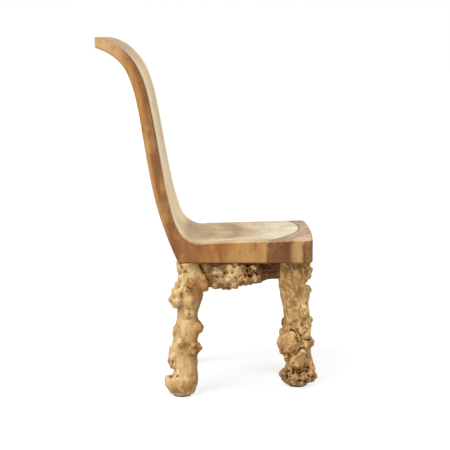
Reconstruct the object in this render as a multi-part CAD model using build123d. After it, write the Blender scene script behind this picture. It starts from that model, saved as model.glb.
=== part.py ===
from build123d import *
from math import cos, radians, sin, tan
import os

# A rustic side chair, in millimetres. The seat and the curled back are carved from one block of
# hardwood. It stands on four knobbly root legs, with a burl apron between each pair of legs.
# +X is the chair's front, +Y the sitter's left and +Z up. The floor is at Z = 0, and the origin
# is on the floor under the middle of the chair.

# Overall sizes
SEAT_WIDTH = 450.0
LEG_LENGTH = 397.0      # floor to the sawn underside of the seat
ARRIS = 6.0             # rounding of the long edges of the block
FRONT_X = 311.0         # middle of the seat's front edge
FRONT_BOW = 7.0         # how far the front edge bows out between its two corners
FRONT_SPARE = 10.0      # length of the blank in front of the seat, sawn off with the bow
FRONT_CORNER = 20.0     # rounding of the seat's two front corners, seen from above
TIP_ROUNDING = 8.0      # under the tip of the back

# Leg to seat joint: a round tenon on the leg, glued into a blind mortise
TENON_RADIUS = 17.0
TENON_LENGTH = 38.0
TENON_CLEARANCE = 0.15  # on the radius
MORTISE_SPARE = 2.0     # left for glue above the tenon

# Apron to leg joint: a loose dowel across each sawn joint face
DOWEL_RADIUS = 6.0
DOWEL_LENGTH = 50.0
DOWEL_CLEARANCE = 0.1   # on the radius
DOWEL_SPARE = 1.0       # left for glue at each end
JOINT_LEDGE = 95.0      # how far below the seat the legs are sawn flat for the aprons

# Foot pads: felt discs glued to the sawn soles
PAD_RADIUS = 25.0
PAD_THICKNESS = 3.0

# Side template of the block: x, and height above the seat's underside. The front line runs from
# the curled tip down the back and round into the seat. The seat's top is then one straight line.
FRONT_LINE = [
    (-325, 654), (-288, 647), (-243, 619), (-206, 575), (-183, 524), (-166, 455),
    (-148, 360), (-121, 215), (-99, 131), (-78, 88), (-50, 67), (-8, 62),
]
SEAT_TOP_SLOPE = 1.6    # degrees, up to the front
SEAT_REAR_FOOT = (-88, 0)
REAR_LINE = [
    SEAT_REAR_FOOT, (-131, 106), (-155, 186), (-171, 263), (-188, 362), (-204, 457),
    (-220, 519), (-249, 577), (-288, 609), (-325, 624),
]

# Sitting hollow, carved down the back and over the seat, with a plain rim left all round
HOLLOW_DEPTH = 15.0
HOLLOW_RIM = 30.0       # along the two sides
HOLLOW_TOP = 70.0       # from the tip, along the front line
HOLLOW_FRONT = 44.0     # from the blank's front end
HOLLOW_FADE = 150.0     # over which the hollow comes to its full depth
HOLLOW_STEPS = 26
CUTTER_HEIGHT = 9.0     # how far the hollow's cutter stands above the wood

# Legs. A station is: share of the leg's length, x, inset from the seat's side, half width along
# x, half depth along y. A burl is: share of the leg's length, x, inset, radius.
LEGS = {
    "rear_right": dict(
        side=-1,
        stations=[
            (0.00, -78, 20, 33, 33), (0.10, -74, 21, 41, 39), (0.19, -69, 23, 35, 35),
            (0.29, -71, 25, 37, 37), (0.40, -70, 27, 37, 36), (0.51, -61, 30, 37, 36),
            (0.61, -61, 33, 31, 33), (0.72, -56, 35, 38, 37), (0.85, -54, 37, 38, 37),
            (1.00, -56, 38, 37, 37),
        ],
        burls=[
            (0.095, -106, 24, 25), (0.055, -96, 14, 24), (0.07, -80, -6, 19), (0.265, -97, 22, 25),
            (0.36, -48, 12, 23), (0.515, -43, 34, 26), (0.62, -56, 8, 18), (0.715, -90, 24, 25),
            (0.76, -86, 30, 24), (0.80, -53, 12, 21), (0.86, -28, 44, 36),
        ],
    ),
    "rear_left": dict(
        side=1,
        stations=[
            (0.00, -88, 20, 32, 33), (0.10, -84, 21, 38, 38), (0.19, -80, 23, 35, 36),
            (0.29, -76, 25, 36, 36), (0.40, -71, 28, 32, 34), (0.51, -70, 30, 33, 34),
            (0.61, -66, 33, 34, 34), (0.72, -60, 35, 36, 37), (0.85, -58, 37, 36, 37),
            (1.00, -58, 38, 36, 37),
        ],
        burls=[
            (0.09, -108, 26, 25), (0.13, -78, -2, 22), (0.25, -97, 22, 24),
            (0.38, -66, 8, 21), (0.54, -97, 30, 24), (0.66, -58, 10, 23),
            (0.78, -80, 22, 25), (0.86, -28, 34, 36),
        ],
    ),
    "front_right": dict(
        side=-1,
        stations=[
            (0.00, 268, 140, 38, 36), (0.09, 270, 136, 48, 46), (0.16, 274, 132, 42, 40),
            (0.24, 269, 128, 40, 38), (0.33, 260, 121, 46, 43), (0.41, 262, 114, 43, 41),
            (0.50, 265, 106, 38, 37), (0.60, 261, 96, 38, 37), (0.72, 254, 86, 40, 37),
            (0.85, 242, 80, 40, 38), (1.00, 239, 78, 40, 38),
        ],
        burls=[
            (0.08, 242, 130, 26), (0.09, 295, 134, 29), (0.085, 270, 108, 25),
            (0.21, 264, 98, 24), (0.35, 234, 112, 29), (0.39, 252, 90, 26), (0.36, 288, 106, 26),
            (0.47, 278, 86, 22), (0.61, 278, 76, 22),
        ],
    ),
    "front_left": dict(
        side=1,
        stations=[
            (0.00, 284, 106, 36, 38), (0.10, 281, 104, 38, 43), (0.19, 275, 102, 38, 40),
            (0.28, 276, 99, 40, 41), (0.38, 280, 95, 38, 40), (0.48, 276, 90, 37, 37),
            (0.60, 270, 86, 38, 37), (0.72, 260, 82, 39, 37), (0.85, 247, 79, 39, 38),
            (1.00, 243, 78, 39, 38),
        ],
        burls=[
            (0.08, 294, 84, 26), (0.07, 264, 78, 25), (0.27, 270, 68, 26),
            (0.37, 295, 82, 25), (0.50, 270, 62, 21), (0.62, 293, 84, 26),
            (0.74, 280, 58, 20),
        ],
    ),
}

# Sawn joint faces. Side aprons meet the rear legs on a slanted face and the front legs on an
# upright one. Front and rear aprons meet the legs on faces that look along the chair's width.
REAR_FACE_TOP_X = -16.0
REAR_FACE_SLANT = 17.5  # degrees from upright
FRONT_FACE_X = 210.0
CROSS_FACE_INSET = {"front": 106.0, "rear": 74.0}

# Side aprons. A station is: x, inset, half thickness, centre below the seat, half height.
# A burl is: x, inset, below the seat, radius.
SIDE_APRONS = {
    "right": dict(
        side=-1,
        stations=[
            (-45, 38, 27, 26, 52), (0, 37, 29, 28, 52), (37, 36, 31, 30, 49), (92, 35, 32, 30, 43),
            (139, 45, 27, 28, 40), (172, 60, 22, 27, 31), (228, 76, 20, 26, 28),
        ],
        burls=[
            (30, 30, 50, 29), (66, 26, 46, 30), (102, 26, 40, 28), (128, 38, 38, 24),
            (84, 60, 44, 24), (20, 56, 44, 22),
        ],
    ),
    "left": dict(
        side=1,
        stations=[
            (-45, 38, 27, 26, 50), (5, 37, 29, 28, 48), (55, 36, 31, 28, 40), (104, 37, 31, 28, 44),
            (146, 46, 27, 24, 34), (178, 62, 21, 20, 24), (228, 76, 20, 20, 22),
        ],
        burls=[
            (24, 28, 44, 27), (60, 32, 38, 24), (98, 26, 44, 29), (130, 44, 36, 22),
            (74, 58, 38, 22),
        ],
    ),
}

# Cross aprons. A station is: share of the way from the right leg's face to the left leg's face,
# x, half thickness, centre below the seat, half height. A burl is: share, x, below the seat, radius.
CROSS_APRONS = {
    "front": dict(
        stations=[
            (-0.08, 256, 25, 25, 46), (0.12, 266, 30, 27, 52), (0.32, 274, 30, 29, 56),
            (0.50, 272, 29, 27, 48), (0.70, 274, 30, 29, 58), (0.88, 266, 30, 27, 52),
            (1.08, 256, 25, 25, 46),
        ],
        burls=[
            (0.10, 284, 44, 25), (0.26, 282, 58, 26), (0.42, 258, 50, 26), (0.60, 284, 46, 26),
            (0.76, 276, 62, 24), (0.90, 282, 40, 25),
        ],
    ),
    "rear": dict(
        stations=[
            (-0.08, -58, 24, 25, 44), (0.15, -59, 26, 27, 50), (0.38, -60, 25, 26, 42),
            (0.62, -59, 26, 27, 46), (0.85, -59, 26, 27, 50), (1.08, -58, 24, 25, 44),
        ],
        burls=[
            (0.18, -64, 52, 22), (0.34, -54, 44, 21), (0.54, -63, 48, 23), (0.74, -56, 52, 22),
        ],
    ),
}

# Dowels: how far each one's axis lies below the seat, and x for those in the cross aprons
SIDE_DOWEL_DROP = {"rear": 46.0, "front": 22.0}
SIDE_DOWEL_INSET = {"rear": 38.0, "front": 76.0}
CROSS_DOWEL_DROP = {"front": 36.0, "rear": 32.0}
CROSS_DOWEL_X = {"front": 252.0, "rear": -58.0}

# Root sections: outline points, height of the three lobes, and their turn between stations
SECTION_POINTS = 12
LOBE = 0.05
LOBE_TURN = 25.0        # degrees

FAR = 1000.0            # larger than any piece, for half-space cutters
STANDING = (Align.CENTER, Align.CENTER, Align.MIN)
HANGING = (Align.CENTER, Align.CENTER, Align.MAX)


def side_y(side, inset):
    """Place across the chair of a point that lies inset from the seat's right or left side."""
    return side * (SEAT_WIDTH / 2 - inset)


def raised(points):
    """Template points, from heights above the seat's underside to heights above the floor."""
    return [(x, LEG_LENGTH + height) for x, height in points]


def front_edges():
    """The template's front line: a drawn curve down the back, and the straight top of the seat."""
    curve = Spline(*raised(FRONT_LINE))
    x, height = FRONT_LINE[-1]
    length = FRONT_X + FRONT_SPARE - x
    end = (x + length, height + length * tan(radians(SEAT_TOP_SLOPE)))
    return [curve, Line(curve @ 1, *raised([end]))]


def side_template():
    """Closed outline of the block, seen from the side."""
    front = front_edges()
    foot = (FRONT_X + FRONT_SPARE, 0)
    front_face = Line(front[1] @ 1, *raised([foot]))
    underside = Line(*raised([foot, SEAT_REAR_FOOT]))
    rear = Spline(*raised(REAR_LINE))
    tip = Line(rear @ 1, *raised([FRONT_LINE[0]]))
    return make_face(front + [front_face, underside, rear, tip])


def front_offcut():
    """What is sawn off in front, seen from above, to bow the seat's front edge."""
    half = SEAT_WIDTH / 2
    bow = ThreePointArc((FRONT_X - FRONT_BOW, -half), (FRONT_X, 0), (FRONT_X - FRONT_BOW, half))
    outside = Polyline(bow @ 1, (FAR, half), (FAR, -half), bow @ 0)
    return extrude(make_face([bow, outside]), FAR)


def hollow_depth(run, length):
    """Depth of the hollow at a distance along the front line. Below zero it has run out."""
    room = min(run - HOLLOW_TOP, length - HOLLOW_FRONT - run)
    rise = min(max(room / HOLLOW_FADE, 0), 1)
    return HOLLOW_DEPTH * sin(radians(90 * rise)) + min(room, 0) * HOLLOW_DEPTH / HOLLOW_FADE


def sitting_hollow():
    """Cutter for the hollow: thin lens sections, lofted along the front line and the seat."""
    line = Plane.XZ * Wire(front_edges())
    start, stop = HOLLOW_TOP / 2, line.length - HOLLOW_FRONT / 2
    half_width = SEAT_WIDTH / 2 - HOLLOW_RIM
    left, right = (-half_width, CUTTER_HEIGHT), (half_width, CUTTER_HEIGHT)
    sections = []
    for step in range(HOLLOW_STEPS + 1):
        run = start + (stop - start) * step / HOLLOW_STEPS
        share = run / line.length
        place = Plane(origin=line @ share, x_dir=(0, 1, 0), z_dir=line % share)
        bottom = (0, -hollow_depth(run, line.length))
        lens = make_face([ThreePointArc(left, bottom, right), Line(right, left)])
        sections.append(place * lens)
    return loft(sections)


def mortise(x, y):
    """Blind round hole for a leg's tenon."""
    depth = TENON_LENGTH + MORTISE_SPARE
    hole = Cylinder(TENON_RADIUS + TENON_CLEARANCE, depth, align=STANDING)
    return Pos(x, y, LEG_LENGTH) * hole


def seat_and_back():
    """One carved block: the template's width of wood, rounded, hollowed and bored for the legs."""
    block = extrude(Plane.XZ.offset(-SEAT_WIDTH / 2) * side_template(), SEAT_WIDTH)
    block -= front_offcut()
    tip = block.faces().sort_by(Axis.X)[0]
    block = fillet(tip.edges().filter_by(Axis.Y).sort_by(Axis.Z)[0], TIP_ROUNDING)
    corners = block.faces().sort_by(Axis.X)[-1].edges().filter_by(Axis.Z)
    block = fillet(corners, FRONT_CORNER)
    sides = block.faces().filter_by(Axis.Y)
    block = fillet(sides.edges(), ARRIS)
    block -= sitting_hollow()
    for leg in LEGS.values():
        _, x, inset, _, _ = leg["stations"][-1]
        block -= mortise(x, side_y(leg["side"], inset))
    return block


def side_face(side, end):
    """Sawn joint face of one side apron: a plane whose normal points out of the leg."""
    if end == "front":
        return Plane(origin=(FRONT_FACE_X, 0, LEG_LENGTH), x_dir=(0, 1, 0), z_dir=(-1, 0, 0))
    return Plane(origin=(REAR_FACE_TOP_X, 0, LEG_LENGTH)).rotated((0, 90 - REAR_FACE_SLANT, 0))


def cross_face(side, end):
    """Sawn joint face of the front or rear apron: a plane whose normal points out of the leg."""
    y = side_y(side, CROSS_FACE_INSET[end])
    return Plane(origin=(0, y, 0), x_dir=(1, 0, 0), z_dir=(0, -side, 0))


def beyond(plane):
    """Half-space on the side that the plane's normal points to."""
    return plane * Box(FAR, FAR, FAR, align=STANDING)


def grown_section(half_x, half_y, index):
    """Closed outline of a root: an oval with three soft lobes that turn from station to station."""
    points = []
    for step in range(SECTION_POINTS):
        angle = 360 * step / SECTION_POINTS
        swell = 1 + LOBE * sin(radians(3 * angle + LOBE_TURN * index))
        points.append((half_x * swell * cos(radians(angle)), half_y * swell * sin(radians(angle))))
    return make_face(Edge.make_spline(points, periodic=True, parameters=range(SECTION_POINTS + 1)))


def smoothed(stations):
    """The stations with one more between each two, on a smooth curve through their neighbours."""
    result = [stations[0]]
    for index in range(len(stations) - 1):
        first, second = stations[index], stations[index + 1]
        before = stations[max(index - 1, 0)]
        after = stations[min(index + 2, len(stations) - 1)]
        neighbours = zip(before, first, second, after)
        result.append(tuple((9 * (b + c) - a - d) / 16 for a, b, c, d in neighbours))
        result.append(second)
    return result


def blob(sections, burls):
    """A lofted trunk with round burls grown onto it."""
    body = loft(sections)
    for centre, radius in burls:
        body += Pos(*centre) * Sphere(radius)
    return body


def root_leg(name):
    """A root trunk with burls, sawn flat at the sole, under the seat and for its two aprons."""
    leg, end = LEGS[name], name.split("_")[0]
    side = leg["side"]
    sections = [
        Pos(x, side_y(side, inset), share * LEG_LENGTH) * grown_section(half_x, half_y, index)
        for index, (share, x, inset, half_x, half_y) in enumerate(smoothed(leg["stations"]))
    ]
    burls = [
        ((x, side_y(side, inset), share * LEG_LENGTH), radius)
        for share, x, inset, radius in leg["burls"]
    ]
    trunk = blob(sections, burls)
    height = LEG_LENGTH - PAD_THICKNESS
    trunk &= Pos(0, 0, PAD_THICKNESS) * Box(FAR, FAR, height, align=STANDING)
    sawn = Pos(0, 0, LEG_LENGTH - JOINT_LEDGE) * Box(FAR, FAR, FAR, align=STANDING)
    trunk -= sawn & beyond(side_face(side, end))
    trunk -= sawn & beyond(cross_face(side, end))
    _, x, inset, _, _ = leg["stations"][-1]
    tenon = Cylinder(TENON_RADIUS, TENON_LENGTH, align=STANDING)
    trunk += Pos(x, side_y(side, inset), LEG_LENGTH) * tenon
    return trunk - dowel_holes()


def side_apron(name):
    """A burl between a rear and a front leg, sawn flat on top and at its two joint faces."""
    apron = SIDE_APRONS[name]
    side = apron["side"]
    sections = [
        Plane(origin=(x, side_y(side, inset), LEG_LENGTH - below), x_dir=(0, 1, 0), z_dir=(1, 0, 0))
        * grown_section(half_thickness, half_height, index)
        for index, (x, inset, half_thickness, below, half_height) in enumerate(smoothed(apron["stations"]))
    ]
    burls = [
        ((x, side_y(side, inset), LEG_LENGTH - below), radius)
        for x, inset, below, radius in apron["burls"]
    ]
    return sawn_apron(blob(sections, burls), side_face(side, "rear"), side_face(side, "front"))


def cross_apron(name):
    """A burl between the two front or the two rear legs."""
    apron = CROSS_APRONS[name]
    start = side_y(-1, CROSS_FACE_INSET[name])
    span = side_y(1, CROSS_FACE_INSET[name]) - start
    sections = [
        Plane(origin=(x, start + share * span, LEG_LENGTH - below), x_dir=(-1, 0, 0), z_dir=(0, 1, 0))
        * grown_section(half_thickness, half_height, index)
        for index, (share, x, half_thickness, below, half_height) in enumerate(smoothed(apron["stations"]))
    ]
    burls = [
        ((x, start + share * span, LEG_LENGTH - below), radius)
        for share, x, below, radius in apron["burls"]
    ]
    return sawn_apron(blob(sections, burls), cross_face(-1, name), cross_face(1, name))


def sawn_apron(blank, first_face, second_face):
    """Keep what lies below the seat and between two joint faces, and bore it for its dowels."""
    blank &= Pos(0, 0, LEG_LENGTH) * Box(FAR, FAR, FAR, align=HANGING)
    blank &= beyond(first_face)
    blank &= beyond(second_face)
    return blank - dowel_holes()


def dowel_places():
    """Where each dowel's middle lies, and which way its axis runs."""
    places = []
    for side in (-1, 1):
        for end in ("rear", "front"):
            drop = SIDE_DOWEL_DROP[end]
            x = FRONT_FACE_X
            if end == "rear":
                x = REAR_FACE_TOP_X + drop * tan(radians(REAR_FACE_SLANT))
            y = side_y(side, SIDE_DOWEL_INSET[end])
            places.append(Plane(origin=(x, y, LEG_LENGTH - drop), z_dir=(1, 0, 0)))
            y = side_y(side, CROSS_FACE_INSET[end])
            z = LEG_LENGTH - CROSS_DOWEL_DROP[end]
            places.append(Plane(origin=(CROSS_DOWEL_X[end], y, z), z_dir=(0, 1, 0)))
    return places


def dowel_holes():
    """Cutters for the eight dowel holes, half of each in a leg and half in an apron."""
    hole = Cylinder(DOWEL_RADIUS + DOWEL_CLEARANCE, DOWEL_LENGTH + 2 * DOWEL_SPARE)
    return [place * hole for place in dowel_places()]


def apron_dowels():
    """The eight loose dowels, as one group of separate solids."""
    return Compound(children=[place * Cylinder(DOWEL_RADIUS, DOWEL_LENGTH) for place in dowel_places()])


def foot_pad(name):
    """A thin felt disc under a leg's sole."""
    leg = LEGS[name]
    _, x, inset, _, _ = leg["stations"][0]
    disc = Cylinder(PAD_RADIUS, PAD_THICKNESS, align=STANDING)
    return Pos(x, side_y(leg["side"], inset), 0) * disc


def pieces():
    """Every node of the chair, by name."""
    made = {"seat_and_back": seat_and_back()}
    for name in LEGS:
        made["leg_" + name] = root_leg(name)
        made["foot_pad_" + name] = foot_pad(name)
    for name in SIDE_APRONS:
        made["apron_" + name] = side_apron(name)
    for name in CROSS_APRONS:
        made["apron_" + name] = cross_apron(name)
    made["apron_dowels"] = apron_dowels()
    return made


if __name__ == "__main__":
    os.makedirs("parts", exist_ok=True)
    for name, piece in pieces().items():
        export_step(piece, f"parts/{name}.step")
        print(name, "volume", round(piece.volume), "mm3")
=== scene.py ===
# %% [markdown]
# # A rustic chair of carved hardwood on root legs
# The chair is one block of hardwood, carved into a seat and a curled back, on four knobbly root
# legs with burl aprons between them. This lesson brings in the measured model, grows the rough
# skin of the roots over it, and gives every piece its wood.
# Everything is in metres: +X is the front, +Y the sitter's left, +Z up, and the floor is at Z = 0.

import math
import random
import bmesh
import bpy
import numpy as np
from mathutils import Matrix, Vector, kdtree, noise
from mathutils.bvhtree import BVHTree


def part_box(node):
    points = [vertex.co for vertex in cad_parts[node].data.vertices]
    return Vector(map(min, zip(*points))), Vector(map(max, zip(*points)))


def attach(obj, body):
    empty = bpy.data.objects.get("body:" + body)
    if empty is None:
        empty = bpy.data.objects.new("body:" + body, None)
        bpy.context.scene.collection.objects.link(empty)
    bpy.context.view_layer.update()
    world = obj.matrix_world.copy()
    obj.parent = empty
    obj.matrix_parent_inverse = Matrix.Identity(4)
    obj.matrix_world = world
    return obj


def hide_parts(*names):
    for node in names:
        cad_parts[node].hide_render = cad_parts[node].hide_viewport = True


NOISE_SEED = 9      # or the noise vectors would differ each run
noise.seed_set(NOISE_SEED)
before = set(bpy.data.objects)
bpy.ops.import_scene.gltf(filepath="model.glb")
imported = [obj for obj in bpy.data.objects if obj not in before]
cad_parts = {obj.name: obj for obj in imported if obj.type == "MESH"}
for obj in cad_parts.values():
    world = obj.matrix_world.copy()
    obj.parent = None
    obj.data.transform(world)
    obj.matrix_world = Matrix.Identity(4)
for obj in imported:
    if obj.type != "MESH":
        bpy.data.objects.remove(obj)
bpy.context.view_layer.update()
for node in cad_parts.values():
    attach(node, "root")

# %% [markdown]
# ## Small helpers for the woods
# Every finish here is a tree of shader nodes. A helper that makes one node, sets its options and
# joins its inputs keeps each recipe short. Colours are written as paint-chart values from 0 to
# 255, which have to be turned into the linear values that shaders count in.

# %% Shader helpers
def colour(red, green, blue):
    """A paint-chart colour, as the linear colour that a shader takes."""
    shares = [value / 255 for value in (red, green, blue)]
    return tuple(s / 12.92 if s < 0.04045 else ((s + 0.055) / 1.055) ** 2.4 for s in shares) + (1.0,)


def put(tree, kind, inputs=None, **options):
    """One shader node. Inputs are numbers, colours, or the outputs of other nodes."""
    node = tree.nodes.new("ShaderNode" + kind)
    for option, value in options.items():
        setattr(node, option, value)
    for socket, value in (inputs or {}).items():
        if isinstance(value, bpy.types.NodeSocket):
            tree.links.new(value, node.inputs[socket])
        else:
            node.inputs[socket].default_value = value
    return node


def sums(tree, operation, first, second=0.0, third=0.0, clamp=False):
    """One sum of plain numbers."""
    inputs = {0: first, 1: second, 2: third}
    return put(tree, "Math", inputs, operation=operation, use_clamp=clamp).outputs[0]


def times(tree, first, second):
    """One product of plain numbers."""
    return sums(tree, "MULTIPLY", first, second)


def blended(tree, share, under, over, blend_type="MIX"):
    """Two colours, the second laid over the first by a share from 0 to 1."""
    node = put(tree, "Mix", {0: share, 6: under, 7: over}, data_type="RGBA", blend_type=blend_type)
    return node.outputs[2]


def laid(tree, tint, share, most, over):
    """A tint with another colour laid over it, by a share of the most that it may cover."""
    return blended(tree, times(tree, share, most), tint, over)


def chart(*rows):
    """Stops for a ramp, from rows of a place and the three numbers of a colour."""
    return [(place, colour(*tint)) for place, *tint in rows]


def ramp(tree, value, stops, interpolation="LINEAR"):
    """A colour for each value: stops are pairs of a place from 0 to 1 and a colour."""
    node = put(tree, "ValToRGB", {0: value})
    scale = node.color_ramp
    scale.interpolation = interpolation
    while len(scale.elements) < len(stops):
        scale.elements.new(1.0)
    for element, (place, tint) in zip(scale.elements, stops):
        element.position = place
        element.color = tint
    return node.outputs[0]


def steps(tree, value, low, high):
    """0 below low, 1 above high, and an even rise between."""
    return put(tree, "MapRange", {0: value, 1: low, 2: high, 3: 0.0, 4: 1.0}).outputs[0]


def band(tree, value, low, high, edge):
    """1 between low and high, with soft edges that reach outwards."""
    rise = steps(tree, value, low - edge, low)
    fall = steps(tree, value, high + edge, high)
    return times(tree, rise, fall)


def line_through(tree, value, points):
    """A smooth line through a few points, with both numbers of each between 0 and 1."""
    node = put(tree, "FloatCurve", {1: value})
    drawn = node.mapping.curves[0].points
    while len(drawn) < len(points):
        drawn.new(0.5, 0.5)
    for point, place in zip(drawn, points):
        point.location = place
    node.mapping.update()
    return node.outputs[0]


def vectors(tree, operation, first, second=(0.0, 0.0, 0.0), third=(0.0, 0.0, 0.0)):
    """One sum of vectors."""
    return put(tree, "VectorMath", {0: first, 1: second, 2: third}, operation=operation).outputs


def grain(tree, where, scale, stretch=(1, 1, 1), detail=2.0, rough=0.5):
    """Cloudy noise, drawn out along an axis by a small stretch number."""
    place = put(tree, "Mapping", {"Vector": where, "Scale": stretch}).outputs[0]
    inputs = {"Vector": place, "Scale": scale, "Detail": detail, "Roughness": rough}
    return put(tree, "TexNoise", inputs).outputs[0]


def new_wood(name, roughness):
    """An empty material, its node tree, its shader and its object coordinates."""
    material = bpy.data.materials.new(name)
    material.use_nodes = True
    tree = material.node_tree
    shader = tree.nodes["Principled BSDF"]
    shader.inputs["Roughness"].default_value = roughness
    where = put(tree, "TexCoord").outputs["Object"]
    return material, tree, shader, where


print("shader helpers ready")

# %% [markdown]
# ## The carved hardwood
# The seat and back are cut from one log that stood upright, so the growth rings are upright
# tubes round one pith, and the rings show as bands on the seat's side and as tongues on its top.
# A picture wrapped on the surface would break at the edges. A solid recipe, which asks how far
# each point lies from the pith, runs on unbroken round every edge, as real wood does.
# The same ring looks darker on a sawn side, where the fibres run along the face, than on the
# dished top, where they end in it, so the tones are kept in three charts and mixed by the way
# the face looks.

# %% Carved hardwood
PITH = (-0.153, 0.063, 0.0)
RING_SPAN = 0.6         # radius round the pith at which the charts of rings end
REAR_LINE = [           # height and x of the block's rear line
    (0.403, -0.088), (0.503, -0.131), (0.660, -0.171),
    (0.854, -0.204), (0.916, -0.220), (0.974, -0.249),
]
LINE_FROM, LINE_TO = 0.4, 1.0
LINE_DEPTH = 0.33


def ahead_of_rear(tree, place):
    """How far a point lies in front of the block's rear line, in metres."""
    inputs = {0: place[2], 1: LINE_FROM, 2: LINE_TO, 3: 0.0, 4: 1.0}
    height = put(tree, "MapRange", inputs).outputs[0]
    span = LINE_TO - LINE_FROM
    points = [((z - LINE_FROM) / span, (x + LINE_DEPTH) / LINE_DEPTH) for z, x in REAR_LINE]
    line = sums(tree, "MULTIPLY_ADD", line_through(tree, height, points), LINE_DEPTH, -LINE_DEPTH)
    return sums(tree, "SUBTRACT", place[0], line)


def carved_hardwood():
    material, tree, shader, where = new_wood("carved_hardwood", 0.5)
    shader.inputs["Specular IOR Level"].default_value = 0.25
    place = put(tree, "SeparateXYZ", {0: where}).outputs
    facing = put(tree, "SeparateXYZ", {0: put(tree, "NewGeometry").outputs["Normal"]}).outputs
    wander = put(tree, "TexNoise", {"Vector": where, "Scale": 3.2, "Detail": 2.0}).outputs["Color"]
    wander = vectors(tree, "SUBTRACT", wander, (0.5, 0.5, 0.5))[0]
    moved = vectors(tree, "MULTIPLY_ADD", wander, (0.03, 0.03, 0.0), where)[0]
    out = vectors(tree, "SUBTRACT", moved, PITH)[0]
    flat = vectors(tree, "MULTIPLY", out, (1.0, 1.0, 0.0))[0]
    radius = vectors(tree, "LENGTH", flat)["Value"]
    share = sums(tree, "DIVIDE", radius, RING_SPAN)
    corner = steps(tree, place[2], 0.448, 0.464)
    uneven = sums(tree, "MULTIPLY_ADD", grain(tree, where, 30, (1, 1, 0.8), 2), 0.010, -0.005)
    share_on_side = sums(tree, "MULTIPLY_ADD", sums(tree, "POWER", corner, 2.0), -0.022, share)
    share_on_side = sums(tree, "ADD", share_on_side, uneven)

    long_streaks = grain(tree, where, 60, (1, 1, 0.10), 4, 0.65)
    broad_streaks = grain(tree, where, 17, (1, 1, 0.22), 3)
    blotches = grain(tree, where, 24, (1, 1, 0.55), 3, 0.6)
    stains = grain(tree, where, 48, (1, 1, 0.5), 3, 0.6)
    clouds = grain(tree, where, 7, (1, 1, 0.7), 3)
    flecks = grain(tree, where, 120, (1, 1, 0.35), 2, 0.6)

    side = ramp(tree, share_on_side, chart(
        (0.0, 150, 102, 56), (0.42, 147, 100, 57), (0.56, 166, 116, 67),
        (0.615, 186, 142, 85), (0.700, 192, 152, 94), (0.7125, 196, 158, 100),
        (0.7150, 132, 93, 59), (0.76, 134, 95, 58), (0.80, 108, 75, 48),
        (0.818, 184, 150, 98), (0.848, 188, 153, 101), (0.862, 95, 60, 35)
    ))
    top = ramp(tree, share, chart(
        (0.0, 200, 172, 136), (0.27, 196, 170, 134), (0.30, 206, 182, 144),
        (0.40, 177, 153, 116), (0.47, 211, 192, 155), (0.53, 216, 209, 184),
        (0.706, 220, 214, 191), (0.711, 112, 80, 54), (0.722, 180, 150, 112),
        (0.76, 200, 174, 138), (0.86, 197, 176, 143), (0.90, 211, 188, 155)
    ))
    front = ramp(tree, clouds, chart((0.3, 246, 220, 176), (0.7, 254, 238, 198)))

    upward = steps(tree, facing[2], 0.72, 0.92)
    forward = steps(tree, facing[0], 0.45, 0.75)
    edge = sums(tree, "ABSOLUTE", place[1])
    side = blended(tree, steps(tree, place[0], -0.22, -0.31), side, colour(240, 200, 148))
    low = times(tree, steps(tree, place[2], 1.00, 0.65), steps(tree, share, 0.52, 0.44))
    side = laid(tree, side, low, 0.85, colour(132, 88, 52))
    # A golden strip along the rear edge of the back's side: a lighter tone of the wood, and painted
    # highlight where a rounder rear edge would catch the key light. Away from the strip, the middle of the
    # side is darker.
    depth = ahead_of_rear(tree, place)
    wide = put(tree, "MapRange", {0: place[2], 1: 0.62, 2: 0.94, 3: 0.004, 4: 0.016}).outputs[0]
    rear_strip_and_highlight = steps(tree, sums(tree, "SUBTRACT", depth, wide), 0.010, 0.0)
    rear_strip_and_highlight = times(tree, rear_strip_and_highlight, band(tree, place[2], 0.50, 0.97, 0.05))
    side = laid(tree, side, rear_strip_and_highlight, 0.7, colour(212, 164, 100))
    side = laid(tree, side, steps(tree, blotches, 0.50, 0.66), 0.50, colour(212, 166, 106))
    side = laid(tree, side, steps(tree, stains, 0.54, 0.70), 0.60, colour(150, 90, 46))
    middle = sums(tree, "MULTIPLY_ADD", rear_strip_and_highlight, -0.36, 0.36)
    middle = times(tree, middle, band(tree, place[2], 0.68, 0.88, 0.08))
    side = blended(tree, middle, side, colour(132, 88, 52))
    forward = times(tree, forward, steps(tree, share, 0.56, 0.50))
    tint = blended(tree, forward, side, front)

    patches = times(tree, band(tree, share, 0.738, 0.785, 0.012), steps(tree, blotches, 0.44, 0.58))
    top = laid(tree, top, patches, 0.75, colour(132, 100, 70))
    over_edge = times(tree, band(tree, share, 0.715, 0.80, 0.01), steps(tree, edge, 0.185, 0.20))
    top = laid(tree, top, over_edge, 0.6, colour(146, 114, 82))
    tint = blended(tree, upward, tint, top)
    rim = times(tree, steps(tree, edge, 0.165, 0.205), steps(tree, facing[2], 0.6, 0.9))
    rim = times(tree, rim, steps(tree, share, 0.72, 0.69))
    tint = laid(tree, tint, rim, 0.7, colour(192, 166, 132))
    # Painted highlight: the rounded edge between the seat's sides and its top is painted a lighter tone.
    edge_highlight = times(tree, band(tree, facing[2], 0.25, 0.80, 0.12), steps(tree, place[2], 0.50, 0.48))
    tint = laid(tree, tint, edge_highlight, 0.55, colour(217, 188, 144))

    crown = times(tree, steps(tree, place[2], 0.95, 1.02), steps(tree, facing[2], 0.15, 0.45))
    tint = laid(tree, tint, crown, 0.85, colour(179, 148, 104))

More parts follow.
